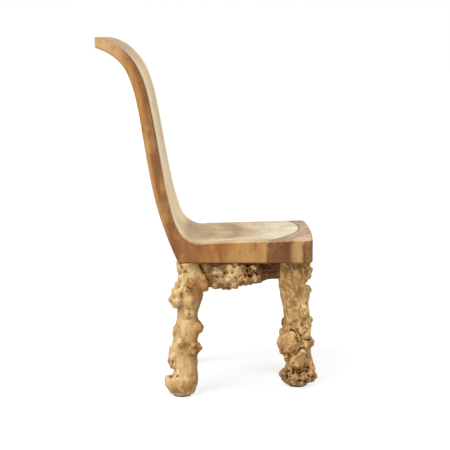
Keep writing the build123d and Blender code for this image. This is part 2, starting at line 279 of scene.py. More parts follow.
    layers = put(tree, "TexNoise", {"W": times(tree, radius, 260.0), "Scale": 1.0, "Detail": 3.0},
                 noise_dimensions="1D").outputs[0]
    layers = ramp(tree, layers, chart((0.32, 196, 172, 138), (0.55, 255, 255, 255)))
    tint = blended(tree, sums(tree, "MULTIPLY_ADD", upward, 0.12, 0.07), tint, layers, "MULTIPLY")
    streaks = ramp(tree, long_streaks, chart((0.30, 196, 172, 138), (0.55, 255, 253, 248)))
    tint = blended(tree, sums(tree, "MULTIPLY_ADD", forward, -0.12, 0.4), tint, streaks, "MULTIPLY")
    broad = ramp(tree, broad_streaks, chart((0.34, 206, 180, 146), (0.6, 255, 255, 255)))
    tint = blended(tree, sums(tree, "MULTIPLY_ADD", forward, -0.35, 0.55), tint, broad, "MULTIPLY")
    spots = steps(tree, flecks, 0.60, 0.76)
    tint = laid(tree, tint, spots, 0.50, colour(114, 72, 40))

    shaken = put(tree, "TexNoise", {"Vector": where, "Scale": 150.0, "Detail": 2.0}).outputs["Color"]
    shaken = vectors(tree, "MULTIPLY_ADD", shaken, (0.020, 0.010, 0.010), where)[0]
    cells = put(tree, "TexVoronoi", {"Vector": shaken, "Scale": 80.0}).outputs
    chance = put(tree, "SeparateColor", {0: cells["Color"]}).outputs
    knotty = band(tree, share_on_side, 0.728, 0.785, 0.004)
    size = times(tree, sums(tree, "MULTIPLY_ADD", knotty, 0.30, 0.12), chance[1])
    size = times(tree, size, sums(tree, "GREATER_THAN", chance[0], 0.42))
    pits = sums(tree, "LESS_THAN", cells["Distance"], size)
    tint = laid(tree, tint, pits, 0.75, colour(56, 38, 28))

    # Painted shade: a dark line on the rounded edge between the back's near side and its front face, up the
    # height of the back.
    line = times(tree, steps(tree, facing[1], -0.94, -0.84), steps(tree, facing[1], -0.10, -0.34))
    line = times(tree, line, steps(tree, facing[0], 0.1, 0.3))
    line = times(tree, line, steps(tree, place[2], 0.50, 0.74))
    line = times(tree, line, steps(tree, place[2], 1.03, 1.00))
    tint = laid(tree, tint, line, 0.78, colour(84, 48, 24))
    tree.links.new(tint, shader.inputs["Base Color"])

    bumps = put(tree, "Bump", {"Height": long_streaks, "Strength": 0.12, "Distance": 0.002})
    tree.links.new(bumps.outputs[0], shader.inputs["Normal"])
    return material


hardwood = carved_hardwood()
seat_and_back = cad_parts["seat_and_back"]
seat_and_back.data.materials.clear()
seat_and_back.data.materials.append(hardwood)
print("seat and back:", len(seat_and_back.data.polygons), "faces")

# %% [markdown]
# ## The burl wood of the roots
# Roots are stripped of bark, so they are pale where they are rubbed and brown in every crack and
# hole, and rough burl is darker and full of pits. Light and shade are painted in as well: every
# hollow and crease of the skin is darkened with painted shade, some lumps are painted pale as
# highlights, the pale legs get painted shade on the side towards the chair's front, and the aprons
# carry a painted shadow of the seat along their tops. The skin made further down carries a few
# values at each point: how hollow it is there, how far it lies in a crack, how rough, streaked,
# dark or stained it is. One recipe reads those, with different tones for the pale rear legs, the
# browner front legs and the aprons.

# %% Burl wood
def burl_wood(name, light, middle, shade, deep, specks, pits):
    """Stripped root wood. The tones run from pale high places, worn and painted as highlights, to deep
    hollows painted with shade.
    """
    material, tree, shader, where = new_wood(name, 0.65)
    shader.inputs["Specular IOR Level"].default_value = 0.2
    kept = {key: put(tree, "Attribute", attribute_name=key).outputs["Fac"] for key in
            ("hollow", "crack", "rough", "flow", "dark", "stain")}
    clouds = grain(tree, where, 24, (1, 1, 0.6), 3)
    patches = grain(tree, where, 58, (1, 1, 0.7), 3, 0.6)
    streaks = grain(tree, where, 150, (1, 1, 0.09), 3, 0.6)
    fine = grain(tree, where, 210, (1, 1, 1), 2, 0.6)
    freckles = grain(tree, where, 105, (1, 1, 0.8), 2, 0.5)
    tint = ramp(tree, clouds, [(0.36, middle), (0.58, light)])
    tint = laid(tree, tint, steps(tree, patches, 0.46, 0.78), 0.30, shade)
    # flow: streaks of the wood, which on the pale legs also carry painted shade, and which are lessened at
    # painted highlights.
    tint = laid(tree, tint, kept["flow"], 0.70, shade)
    veins = sums(tree, "ABSOLUTE", sums(tree, "SUBTRACT", grain(tree, where, 34, (1, 1, 0.45), 2), 0.5))
    tint = laid(tree, tint, steps(tree, veins, 0.020, 0.0), 0.30, shade)
    tint = laid(tree, tint, steps(tree, streaks, 0.48, 0.68), 0.42, shade)
    tint = laid(tree, tint, steps(tree, freckles, 0.60, 0.72), 0.55, specks)
    tint = laid(tree, tint, steps(tree, fine, 0.60, 0.74), 0.3, shade)
    browned = times(tree, kept["rough"], steps(tree, grain(tree, where, 46, (1, 1, 1), 3), 0.40, 0.66))
    tint = laid(tree, tint, browned, 0.45, shade)
    worn = sums(tree, "MULTIPLY", kept["stain"], sums(tree, "MULTIPLY_ADD", patches, 0.9, 0.45), clamp=True)
    tint = blended(tree, worn, tint, shade)
    # Painted shade: the deeper a point lies in a crease or hollow of the skin, the darker it is painted,
    # first towards shade and then towards deep.
    tint = laid(tree, tint, steps(tree, kept["hollow"], 0.12, 0.75), 0.85, shade)
    tint = laid(tree, tint, steps(tree, kept["hollow"], 0.55, 1.0), 0.75, deep)
    cells = put(tree, "TexVoronoi", {"Vector": where, "Scale": pits}).outputs
    chance = put(tree, "SeparateColor", {0: cells["Color"]}).outputs
    size = times(tree, chance[0], 0.26)
    holes = times(tree, sums(tree, "LESS_THAN", cells["Distance"], size), kept["rough"])
    tint = laid(tree, tint, holes, 0.45, deep)
    # dark: painted shadow of the seat along the aprons' tops, and the dark end of the right apron, which is
    # dark wood with painted shade in its recess.
    tint = laid(tree, tint, kept["dark"], 0.80, deep)
    tint = laid(tree, tint, steps(tree, kept["crack"], 0.25, 0.85), 0.88, deep)
    tree.links.new(tint, shader.inputs["Base Color"])
    height = sums(tree, "MULTIPLY_ADD", kept["rough"], fine, streaks)
    bumps = put(tree, "Bump", {"Height": height, "Strength": 0.22, "Distance": 0.0015})
    tree.links.new(bumps.outputs[0], shader.inputs["Normal"])
    return material


burl_pale = burl_wood(
    "burl_pale", colour(227, 200, 148), colour(206, 172, 117), colour(158, 111, 59), colour(66, 40, 20),
    colour(190, 128, 64), 240.0)
burl_brown = burl_wood(
    "burl_brown", colour(232, 197, 138), colour(204, 162, 104), colour(138, 95, 51), colour(44, 27, 14),
    colour(166, 108, 54), 240.0)
burl_apron = burl_wood(
    "burl_apron", colour(244, 216, 162), colour(216, 178, 122), colour(126, 86, 46), colour(36, 19, 7),
    colour(170, 104, 52), 260.0)
print("burl woods:", burl_pale.name, burl_brown.name, burl_apron.name)

# %% [markdown]
# ## How a root gets its skin
# A root is a trunk with lumps grown into it: no two edges are straight, and the lumps run into
# each other. Modelling that face by face would be endless. Here each growth is a simple ball or
# stub, set where it belongs on a copy of the measured piece. A voxel remesh then grows one
# skin over all of them, smoothing melts the seams, and noise gives the skin its grain.
# The sawn faces stay flat: the closer a point lies to a neighbouring piece, the less it moves.

# %% Set growths on a root
def copy_of(node):
    """A closed copy of a measured piece."""
    shell = bmesh.new()
    shell.from_mesh(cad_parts[node].data)
    bmesh.ops.remove_doubles(shell, verts=shell.verts, dist=0.00002)
    bmesh.ops.recalc_face_normals(shell, faces=shell.faces)
    return shell


def neighbours_of(node):
    """A search tree of every other measured piece."""
    others = bmesh.new()
    for name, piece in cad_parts.items():
        if name != node and name != "apron_dowels":
            others.from_mesh(piece.data)
    tree = BVHTree.FromBMesh(others)
    others.free()
    return tree


FAR_AWAY = 1.0          # metres from which the chair is looked at from one side


def touch(tree, middle, x, z, side):
    """The point of the skin at x and z, seen from one side, and the way the skin looks there."""
    hit, normal, _, _ = tree.ray_cast(Vector((x, side * FAR_AWAY, z)), Vector((0.0, -side, 0.0)))
    if hit is None:
        hit, normal, _, _ = tree.find_nearest(Vector((x, middle, z)))
        normal = Vector((hit.x - x, hit.y - middle, 0.0)) * -1.0
        normal = normal.normalized() if normal.length > 0.001 else Vector((0.0, side, 0.0))
    return hit, normal


def ball(shell, centre, radius, normal=Vector((0, 0, 1)), squash=1.0, tall=1.0):
    """A growth: a ball, flattened along the way it looks and drawn out upwards."""
    turn = normal.to_track_quat("Z", "Y").to_matrix().to_4x4()
    size = Matrix.Diagonal((1.0, tall, squash, 1.0))
    bmesh.ops.create_icosphere(
        shell, subdivisions=3, radius=radius, matrix=Matrix.Translation(centre) @ turn @ size)


def stub(shell, foot, way, radius, length):
    """A twig cut off short: a tapered peg with a rounded rim."""
    turn = way.to_track_quat("Z", "Y").to_matrix().to_4x4()
    peg = bmesh.ops.create_cone(
        shell, cap_ends=True, segments=20, radius1=radius * 1.35, radius2=radius, depth=length,
        matrix=Matrix.Translation(foot + way * length * 0.5) @ turn)
    rim = [e for v in peg["verts"] for e in v.link_edges if (v.co - foot).dot(way) > length * 0.7]
    rim = [e for e in dict.fromkeys(rim) if all((v.co - foot).dot(way) > length * 0.7 for v in e.verts)]
    bmesh.ops.bevel(
        shell, geom=rim, offset=radius * 0.12, affect="EDGES", segments=2, profile=0.5, material=-1)


print("growth helpers ready")

# %% [markdown]
# A remesh modifier needs an object, so a short-lived one is made for it. The voxel size is the
# finest detail that the skin can hold: 1.8 mm keeps a leg at about 100,000 triangles. Smoothing
# spreads by a step of the mesh each time, so it is asked for in metres and turned into passes.

# %% Grow one skin over a root
VOXEL = 0.0018
SOLE_BAND = 0.045       # height up to which a worn sole is lifted
SOLE_FLAT = 0.027       # radius of a sole that stays flat on its pad
SOLE_RISE = 0.012       # over which its rim comes to the full lift
SAWN_GAP = 0.0012       # a point this near to another piece lies on a sawn face
SAWN_FADE = 0.006       # and is free to move this much further out


def one_skin(shell, voxel):
    """One closed skin over everything in the shell."""
    mesh = bpy.data.meshes.new("growing")
    shell.to_mesh(mesh)
    shell.free()
    holder = bpy.data.objects.new("growing", mesh)
    bpy.context.scene.collection.objects.link(holder)
    remesh = holder.modifiers.new("skin", "REMESH")
    remesh.mode = "VOXEL"
    remesh.voxel_size = voxel
    graph = bpy.context.evaluated_depsgraph_get()
    skin = bmesh.new()
    skin.from_mesh(holder.evaluated_get(graph).data)
    bpy.data.objects.remove(holder)
    bpy.data.meshes.remove(mesh)
    return skin


def share_of(way, whole):
    """How much of a whole way has been gone, from 0 to 1."""
    return min(max(way / whole, 0.0), 1.0)


def worn_sole(skin, pad, height):
    """Lifts the rim of a sole: the leg stands on its pad and the rim hangs free and ragged."""
    for v in skin.verts:
        if v.co.z < SOLE_BAND:
            far = math.hypot(v.co.x - pad.x, v.co.y - pad.y)
            rim = share_of(far - SOLE_FLAT, SOLE_RISE)
            lift = rim * height * (1.0 + 0.9 * noise.noise(v.co * 55.0))
            v.co.z += lift * (SOLE_BAND - v.co.z) / SOLE_BAND


def passes_for(reach):
    """How many smoothing passes blur a skin of the usual voxel over a reach, in metres."""
    return max(round(4 * (reach / VOXEL) ** 2), 1)


def melt(skin, free, reach):
    """Smooths the points that are free to move."""
    for _ in range(passes_for(reach)):
        bmesh.ops.smooth_vert(
            skin, verts=free, factor=0.5, use_axis_x=True, use_axis_y=True, use_axis_z=True)


def freedom(skin, others):
    """0 on a sawn face that meets another piece, rising to 1 a few millimetres away from it."""
    result = np.ones(len(skin.verts))
    for i, v in enumerate(skin.verts):
        _, _, _, gap = others.find_nearest(v.co, SAWN_GAP + SAWN_FADE + 0.0003)
        if gap is not None:
            result[i] = share_of(gap - SAWN_GAP, SAWN_FADE)
    return result


print("voxel", VOXEL)

# %% [markdown]
# The grain of the skin is noise of a few kinds. Smooth root has low swells. Fluted root has
# grooves along the leg that wind slowly round it. Rough burl is a crowd of little buds with pits
# between them, which cell noise gives. Each leg mixes the three by height and by place.

# %% Grain of the skin
def swells(p):
    broad = noise.noise(p * 26.0) * 0.0016 + noise.noise(p * 55.0 + Vector((4, 1, 7))) * 0.0013
    return broad + 0.0008 * noise.noise(p * 105.0) + 0.0004 * noise.noise(p * 210.0)


def flutes(p, middle):
    """Winding grooves: the noise is drawn out along the leg and turned with height."""
    turn = Matrix.Rotation(p.z * 7.0, 3, "Z") @ (p - middle)
    wander = noise.noise(p * 24.0) * 1.1
    q = Vector((turn.x * 82.0 + wander, turn.y * 82.0 - wander, p.z * 15.0 + wander))
    wave = noise.noise(q)
    fine = noise.noise(q * 2.4)
    return 0.0027 * wave + 0.0010 * fine, 0.34 - 1.3 * wave - 0.9 * fine


def buds(p, scale=105.0, pitted=1.0):
    """Little buds, with ragged pits between some of them."""
    warped = p + noise.noise_vector(p * 60.0) * 0.004
    near = noise.voronoi(warped * scale)[0]
    small = noise.voronoi(warped * scale * 2.1)[0]
    bud = 0.0034 * (0.42 - near[0]) + 0.0014 * (0.4 - small[0])
    ragged = p + noise.noise_vector(p * 140.0) * 0.004
    pit = max(noise.noise(ragged * 90.0 + Vector((9, 3, 5))) - 0.36, 0.0)
    return bud - 0.016 * pitted * pit


def billows(p):
    """The cauliflower relief of raw burl: round lumps upon lumps, with sharp creases between."""
    warped = p + noise.noise_vector(p * 45.0) * 0.006
    lumps = abs(noise.noise(warped * 52.0)) * 2.2 - 0.5
    small = abs(noise.noise(warped * 118.0 + Vector((5, 2, 8)))) * 2.2 - 0.5
    grit = abs(noise.noise(p * 250.0 + Vector((1, 7, 3)))) * 2.2 - 0.5
    return 0.0034 * lumps + 0.0022 * small + 0.0012 * grit


print("grain of one point, in mm:", round(buds(Vector((0.1, 0.2, 0.3))) * 1000, 2))

# %% [markdown]
# Cracks and holes are pressed into the finished skin. A crack is a line of points laid on the
# skin, and every point of the skin near it is pushed inwards, deepest on the line itself. A line
# with a depth below zero lifts the skin instead, into a ridge like the lip of an old wound. Stains
# are round, and only colour the wood; a stain below zero is a place worn pale and also a painted
# highlight.

# %% Cracks, holes and the values for the wood
def dots(width, depth, *places):
    """Marks of one point each: holes, or knobs where the depth is below zero."""
    return [(width, depth, [place]) for place in places]


def blots(strength, *places):
    """Stains of one strength, each with its x, height and radius."""
    return [(*place, strength) for place in places]


def laid_out(marks, tree, middle, side):
    """The marks' lines as close points on the skin, each with its width and depth in metres."""
    spots = []
    for width, depth, line in marks:
        steps_on = []
        for (xa, za), (xb, zb) in zip(line, line[1:] or line):
            count = max(int(math.hypot(xb - xa, zb - za) / 1.2), 1)
            for k in range(count + 1):
                steps_on.append((xa + (xb - xa) * k / count, za + (zb - za) * k / count))
        for k, (x, z) in enumerate(steps_on):
            thin = math.sin(math.pi * (k + 1) / (len(steps_on) + 1)) ** 0.6 if len(line) > 1 else 1.0
            thin *= 1.0 + 0.5 * noise.noise(Vector((x * 0.35, z * 0.35, 7.0)))
            stray = noise.noise_vector(Vector((x * 0.16, z * 0.16, 3.0))) * 2.2
            hit, _ = touch(tree, middle, (x + stray.x) / 1000, (z + stray.y) / 1000, side)
            spots.append((hit, width * (0.45 + 0.55 * thin) / 1000, depth * thin / 1000))
    return spots


def finder_of(spots):
    """A search tree of the places of a list of spots."""
    finder = kdtree.KDTree(max(len(spots), 1))
    for k, spot in enumerate(spots):
        finder.insert(spot[0], k)
    finder.balance()
    return finder


def press(skin, amount, marks, tree, middle, side):
    """Pushes cracks, holes and ridges into the skin and returns how far each point lies in a crack."""
    crack, push = np.zeros(len(skin.verts)), np.zeros(len(skin.verts))
    spots = laid_out(marks, tree, middle, side)
    finder = finder_of(spots)
    for i, v in enumerate(skin.verts):
        for _, k, gap in finder.find_range(v.co, 0.012):
            width, depth = spots[k][1:]
            if gap < width:
                fall = (1 - (gap / width) ** 2) ** 2
                if abs(fall * depth) > abs(push[i]):
                    push[i] = fall * depth
                if depth > 0:
                    crack[i] = max(crack[i], fall)
    skin.normal_update()
    for v, d, a in zip(skin.verts, push, amount):
        if d:
            v.co -= v.normal * d * a
    return crack


def stained(skin, stains, tree, middle, side):
    """How stained each point is, and how pale. A stain below zero is a place worn pale and also a painted
    highlight.
    """
    brown, rubbed_and_highlight = np.zeros(len(skin.verts)), np.zeros(len(skin.verts))
    spots = [(touch(tree, middle, x / 1000, z / 1000, side)[0], radius / 1000, strength)
             for x, z, radius, strength in stains]
    finder = finder_of(spots)
    widest = max([radius for _, radius, _ in spots], default=0.0) * 1.5
    for i, v in enumerate(skin.verts):
        ragged = 1.0 + 0.9 * noise.noise(v.co * 75.0)
        for _, k, gap in finder.find_range(v.co, widest):
            _, radius, strength = spots[k]
            fall = min(max(1 - (gap * ragged / radius) ** 2, 0.0) * 1.6, 1.0)
            brown[i] = max(brown[i], strength * fall)
            rubbed_and_highlight[i] = max(rubbed_and_highlight[i], -strength * fall)
    return brown, rubbed_and_highlight


FINE_CREASE = 0.0045       # how far the skin is blurred to find its creases
BROAD_HOLLOW = 0.010       # and its broader hollows


def hollowness(skin):
    """How far each point lies below the skin round it: 1 in a deep crease."""
    skin.normal_update()
    skin.verts.index_update()
    places = np.array([v.co for v in skin.verts])
    normals = np.array([v.normal for v in skin.verts])
    pairs = np.array([[v.index for v in e.verts] for e in skin.edges])
    starts = np.concatenate((pairs[:, 0], pairs[:, 1]))
    ends = np.concatenate((pairs[:, 1], pairs[:, 0]))
    shares = np.bincount(starts, minlength=len(places))[:, None]
    level, done = places.copy(), 0
    result = np.zeros(len(places))
    for reach, depth in ((FINE_CREASE, 0.0013), (BROAD_HOLLOW, 0.0045)):
        while done < passes_for(reach):
            around = [np.bincount(starts, level[ends, axis], len(places)) for axis in range(3)]
            level = 0.5 * level + 0.5 * np.stack(around, axis=1) / shares
            done += 1
        below = ((level - places) * normals).sum(axis=1)
        result = np.maximum(result, np.clip(below / depth, 0.0, 1.0))
    return result


def finished(skin, name, material, node, values):
    """The skin as a piece that stands for its measured piece."""
    mesh = bpy.data.meshes.new(name)
    skin.to_mesh(mesh)
    skin.free()
    for label, numbers in values.items():
        layer = mesh.attributes.new(label, "FLOAT", "POINT")
        layer.data.foreach_set("value", np.asarray(numbers, dtype=np.float32))
    mesh.shade_smooth()
    mesh.materials.append(material)
    piece = bpy.data.objects.new(name, mesh)
    bpy.context.scene.collection.objects.link(piece)
    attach(piece, "root")
    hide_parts(node)
    triangles = sum(len(p.vertices) - 2 for p in mesh.polygons)
    print(name, triangles, "triangles")
    return piece


print("skin helpers ready")

# %% [markdown]
# One maker's routine puts these together. What differs between two roots is only a list: where
# its growths and stubs are, how rough it is at each place, and where it is cracked.

# %% Grow a root piece
TRIES = 900                         # looks taken at a piece to find places on it
PLACES_FROM, PLACES_TO = 0.008, 0.39    # heights between the soles and the seat
FACING = 0.3                        # how squarely a place looks the way that is asked for
CLEAR = 0.9                         # radii that a scattered growth keeps from its neighbours
FREE = 0.25                         # points freer than this may be smoothed


def places_on(tree, node):
    """Evenly spread places on a measured piece, each with the way it looks."""
    dice = random.Random(len(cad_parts[node].data.polygons))
    low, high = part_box(node)
    places = []
    for _ in range(TRIES):
        aim = Vector([dice.uniform(a, b) for a, b in zip(low, high)])
        way = Vector((dice.gauss(0, 1), dice.gauss(0, 1), dice.gauss(0, 0.4))).normalized()
        hit, normal, _, _ = tree.ray_cast(aim + way * 0.5, -way)
        if hit is not None and PLACES_FROM < hit.z < PLACES_TO:
            places.append((hit, normal))
    return places


def scattered(shell, tree, node, others, seed, count, smallest, largest, lift, way):
    """Growths by chance, where the piece looks the given way. (0, 0, 0) stands for every way."""
    dice = random.Random(seed)
    anywhere = way == (0, 0, 0)
    spots = [s for s in places_on(tree, node) if anywhere or s[1].dot(Vector(way)) > FACING]
    for _ in range(count):
        spot, normal = dice.choice(spots)
        radius = dice.uniform(smallest, largest) / 1000
        _, _, _, gap = others.find_nearest(spot, 0.05)
        if gap is None or gap > radius * CLEAR:
            centre = spot + normal * radius * dice.uniform(lift - 0.6, lift)
            squash = dice.uniform(0.7, 1.0)
            ball(shell, centre, radius, normal, squash)


def set_stubs(shell, tree, middle, stubs, side):
    """Sets the twig stubs, and returns where each ends and how far round it the skin stays calm."""
    pegs = []
    for x, z, radius, length, way in stubs:
        spot, _ = touch(tree, middle, x / 1000, z / 1000, side)
        way = Vector(way).normalized()
        stub(shell, spot, way, radius / 1000, length / 1000)
        pegs.append((spot + way * 0.75 * length / 1000, 2.2 * radius / 1000))
    return pegs


def grow(node, name, material, slot, side, growths=(), stubs=(), marks=(), stains=(), texture=None,
         scatter=None, melts=0.003, worn=0.0, fine=1.0):
    """A root or burl piece, grown over its measured piece."""
    shell = copy_of(node)
    tree = BVHTree.FromBMesh(shell)
    others = neighbours_of(node)
    low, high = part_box(node)
    middle = (low + high) / 2
    for x, z, radius, lift, *shape in growths:
        spot, normal = touch(tree, middle.y, x / 1000, z / 1000, side)
        ball(shell, spot + normal * radius * lift / 1000, radius / 1000, normal, *shape)
    if scatter:
        scattered(shell, tree, node, others, *scatter)
    pegs = set_stubs(shell, tree, middle.y, stubs, side)
    skin = one_skin(shell, VOXEL * fine)
    amount = freedom(skin, others)
    for spot, reach in pegs:
        far = np.array([(v.co - spot).length for v in skin.verts]) / reach
        amount *= np.clip(far * 3.0 - 2.0, 0.15, 1.0)
    free = [v for v, a in zip(skin.verts, amount) if a > FREE]
    melt(skin, free, melts)
    if worn:
        pad_low, pad_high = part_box(node.replace("leg", "foot_pad"))
        worn_sole(skin, (pad_low + pad_high) / 2, worn)
    skin.normal_update()
    moves = np.array([texture(v.co, middle) for v in skin.verts])
    for v, move in zip(skin.verts, moves[:, 0] * amount):
        v.co += v.normal * move
    laid = BVHTree.FromBMesh(skin)
    crack = press(skin, amount, marks, laid, middle.y, side)
    brown, rubbed_and_highlight = stained(skin, stains, laid, middle.y, side)
    # Stains below zero take away streaks and darkness: places worn pale that are also painted highlights.
    moves[:, 2] -= rubbed_and_highlight
    moves[:, 3] -= rubbed_and_highlight
    # hollow sets the painted shade in the creases and hollows of the skin.
    values = {"crack": crack, "stain": brown, "hollow": hollowness(skin) * amount}
    values.update(zip(("rough", "flow", "dark"), np.clip(moves[:, 1:].T, 0.0, 1.0)))
    return finished(skin, name, material, node, values)


print("routine ready")

# %% [markdown]
# ## Rear right leg
# The palest and smoothest of the roots. Its lumps stand in clusters at the left, a knot near the
# top has a dark crack across it, and a cut twig stub looks straight out of it at a third of its
# height.

# %% Rear right leg
def pale_texture(p, middle):
    """How far the skin moves, and how rough, how streaked and how dark the wood is there. The streaks also
    carry painted shade on the side towards the chair's front.
    """
    budding = share_of(noise.noise(p * 15.0) * 2.0 + 0.25, 1.0)
    streak = noise.noise(Vector((p.x * 60.0, p.y * 60.0, p.z * 14.0)) + noise.noise_vector(p * 25.0) * 0.6)
    # Darker towards the chair's front side of the leg: an ochre tone of the wood, and painted shade on the
    # side turned away from the key light.
    ochre_and_shade = share_of(p.x + 0.064, 0.035) * (1.05 + 0.5 * noise.noise(p * 22.0))
    move = swells(p) + 0.3 * budding * buds(p, 75.0, 0.0)
    return move, 0.12 * budding, 0.06 + 0.7 * streak + ochre_and_shade, 0.0


REAR_RIGHT = dict(
    growths=[
        (-82, 380, 13, -0.1), (-83, 353, 12, -0.4), (-70, 385, 9, -0.1), (-82, 391, 5, 0.2),
        (-79, 384, 4, 0.2), (-70, 378, 5, 0.2), (-94, 336, 6, 0.3), (-103, 316, 8, 0.1),
        (-95, 304, 15, 0.0), (-108, 289, 11, 0.1), (-111, 288, 5, 0.7), (-93, 284, 14, 0.0),
        (-98, 272, 10, 0.0), (-86, 314, 9, 0.1), (-90, 296, 7, 0.4), (-55, 331, 15, -0.4),
        (-60, 341, 6, 0.1), (-47, 336, 7, 0.1), (-52, 320, 7, 0.0), (-58, 284, 18, -0.45),
        (-53, 266, 12, -0.4), (-30, 205, 17, -0.1), (-22, 206, 9, 0.1), (-34, 196, 10, -0.1),
        (-43, 154, 9, 0.2), (-27, 145, 8, 0.3), (-36, 140, 11, 0.0), (-45, 134, 7, 0.2),
        (-40, 124, 9, 0.0), (-106, 120, 14, -0.1), (-112, 128, 8, 0.1), (-114, 109, 9, 0.0),
        (-105, 92, 11, -0.1), (-40, 50, 14, -0.5), (-122, 53, 9, 0.2), (-114, 40, 14, 0.0),
        (-104, 27, 13, 0.0), (-98, 20, 10, 0.0), (-94, 38, 14, -0.1), (-84, 32, 11, -0.1),
        (-72, 22, 10, -0.3), (-102, 50, 9, -0.2), (-72, 156, 15, -0.6), (-96, 196, 16, -0.5),
        (-24, 364, 14, -0.2), (-14, 348, 13, -0.1), (-4, 335, 9, 0.1), (3, 327, 6, 0.2),
    ],
    stubs=[
        (-76, 163, 9.5, 27, (-0.46, -0.78, 0.4)), (-13, 338, 10, 25, (0.15, 0.1, -1)),
    ],
    marks=[
        (4.2, 5, [(-66, 334), (-60, 328), (-55, 324), (-44, 322)]), (6, 5, [(-57, 326), (-49, 322)]),
        (5, -2.6, [(-68, 328), (-66, 339), (-57, 346), (-46, 342), (-41, 333), (-43, 325)]),
        (2.6, 3, [(-64, 343), (-61, 342)]), (2.4, 1.5, [(-50, 318), (-46, 314)]),
        (2.4, 2, [(-58, 270), (-56, 263), (-51, 263)]), (2.2, 2, [(-45, 270), (-44, 264)]),
        (2.2, 0.8, [(-88, 147), (-80, 144)]), (5, 5, [(-36, 148), (-30, 145)]),
        (3, 2.5, [(-38, 156), (-36, 150)]), (5, 3, [(-26, 139), (-32, 134)]),
        (3.4, 3, [(-82, 396), (-78, 388), (-76, 381)]), (3, 2, [(-70, 372), (-66, 375)]),
        (3, 3, [(-113, 57), (-108, 60)]), (3, 2.5, [(-93, 63), (-88, 64)]),
        (2.4, 1.6, [(-77, 38), (-74, 35)]), (3, 3, [(-106, 100), (-102, 108)]),
        # The last mark on this line and the two on the next press the crevice where the apron meets the
        # leg, painted dark as the shadow between them.
        (3, 3, [(-101, 19), (-98, 16)]), (6, 3, [(-27, 398), (-21, 376), (-9, 361)]),
        (4.6, 3, [(-9, 361), (-1, 347), (6, 332)]), (4, 3, [(7, 325), (2, 321)]),
        (2.6, 3, [(-58, 347)]), (2.4, 1.2, [(-81, 300)]), (5, 5, [(-31, 135)]), (3, 3, [(-44, 122)]),
        (5, 2, [(-29, 147)]), (3.4, 2, [(-40, 149)]), (3, 2, [(-40, 138)]), (4.5, -2.2, [(-81, 393)]),
        (3.4, -1.6, [(-68, 372)]), (3.6, -1.6, [(-54, 256)]), (5, -2.4, [(-122, 54)]),
        (5, -2, [(-92, 38)]), (4, -1.8, [(-84, 30)]),
        *dots(4, 4, (-63, 264), (-54, 248)),
        *dots(2.4, 1.6, (-104, 31), (-93, 22)),
        *dots(4, -2, (-77, 386), (-70, 379), (-58, 342), (-48, 337), (-94, 337), (-111, 288),
              (-90, 297), (-112, 128), (-110, 34)),
        *dots(3.6, -1.8, (-52, 320), (-38, 128)),
        *dots(4, -2.2, (-44, 155), (-27, 147), (-46, 134)),
    ],
    stains=[
        (-55, 334, 17, 1.1), (-46, 334, 9, 1.4), (-26, 143, 9, 1.6), (-54, 262, 9, 0.3), (-66, 161, 6, 1),
        *blots(0.8, (-50, 318, 8), (-60, 344, 6), (-78, 384, 9), (-66, 372, 7), (-76, 132, 5),
               (-68, 160, 8), (-81, 35, 9), (-93, 20, 6), (-72, 31, 8)),
        *blots(0.5, (-40, 287, 9), (-50, 390, 14), (-94, 200, 7), (-56, 240, 14), (-32, 96, 12),
               (-82, 134, 8), (-80, 150, 9), (-20, 205, 8)),
        *blots(0.9, (-8, 347, 15), (0, 327, 14), (-22, 372, 10), (-117, 109, 6), (-93, 63, 6),
               (-111, 58, 6), (-80, 303, 7), (-70, 152, 6)),
        *blots(0.6, (-98, 186, 6), (-31, 300, 6), (-111, 288, 8), (-65, 186, 4)),
        *blots(0.7, (-87, 297, 5), (-83, 289, 5), (-89, 209, 5), (-100, 184, 7), (-33, 194, 8),
               (-44, 124, 12), (-108, 92, 8), (-41, 46, 14), (-56, 23, 12), (-36, 24, 12),
               (-34, 146, 20)),
        *blots(1.5, (-34, 142, 16), (-8, 318, 11)),
        *blots(0.4, (-100, 38, 6), (-50, 60, 10), (-102, 300, 14)),
        *blots(0.75, (-98, 34, 24), (-64, 30, 22)),
        # Stains below zero: places worn pale that are also painted highlights.
        *blots(-0.6, (-51, 363, 16), (-58, 285, 14), (-88, 172, 10)),
    ],
)
grow("leg_rear_right", "root_rear_right", burl_pale, "burl_pale", -1, texture=pale_texture,
     scatter=(3, 12, 10, 24, -0.1, (0.3, 1, 0)), melts=0.0042, worn=0.003, **REAR_RIGHT)

# %% [markdown]
# ## Front right leg
# A browner root. Its upper half is fluted, with grooves that wind down it, and from half height
# down it turns into burl: a big bulb, layered lumps with black cracks round them, and a ragged
# foot full of holes.

# %% Front right leg
def brown_texture(p, middle):
    low = share_of(0.20 - p.z, 0.05)
    foot = share_of(0.075 - p.z, 0.02)
    axis = Vector((middle.x, middle.y, 0.0))
    upper, streak = flutes(p, axis)
    lower = swells(p) * 1.2 + buds(p, 80.0) * (0.15 + 0.6 * foot) + billows(p) * (0.25 + 0.55 * foot)
    flow = streak * (1 - 0.6 * low) + 0.5 * noise.noise(p * 30.0) * low + 0.30 * foot
    return upper * (1 - low) + lower * low, 0.25 * low + 0.75 * foot, flow, 0.0


